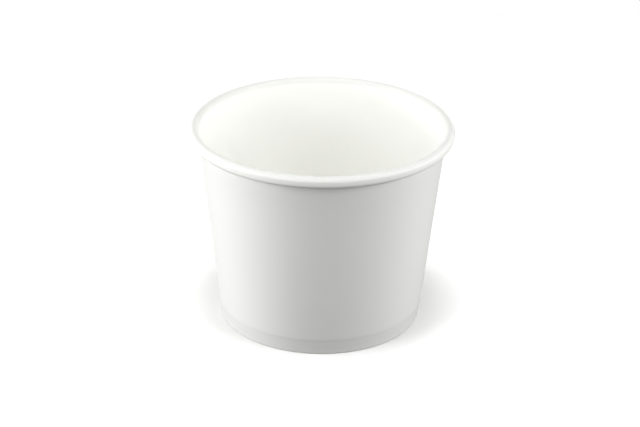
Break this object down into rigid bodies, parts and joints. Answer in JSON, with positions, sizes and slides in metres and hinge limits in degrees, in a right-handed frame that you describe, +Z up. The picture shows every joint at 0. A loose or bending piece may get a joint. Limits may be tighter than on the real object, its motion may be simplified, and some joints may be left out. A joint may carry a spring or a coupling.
{
  "type": "paper sundae cup",
  "caption": "Plain white board cup for a sundae or soup, with a tapered wall lapped down one side, a rolled rim, a folded hem and a recessed floor. It stands on its hem.",
  "frame": {"origin": "centre of the cup's base circle, on the surface that it stands on", "axes": "+Z up along the cup's axis from base to rim; the side seam is at +X, from about 5 degrees towards -Y to 5 degrees towards +Y"},
  "size_m": [0.0971, 0.097, 0.0752],
  "materials": {
    "wall_board": "white bleached board, smooth thin coating on both faces, semi-matt",
    "bottom_board": "white bleached board, smooth thin coating on both faces, semi-matt"
  },
  "bodies": {
    "root": {"side_wall": "wall_board", "bottom_disc": "bottom_board"}
  },
  "joints": []
}
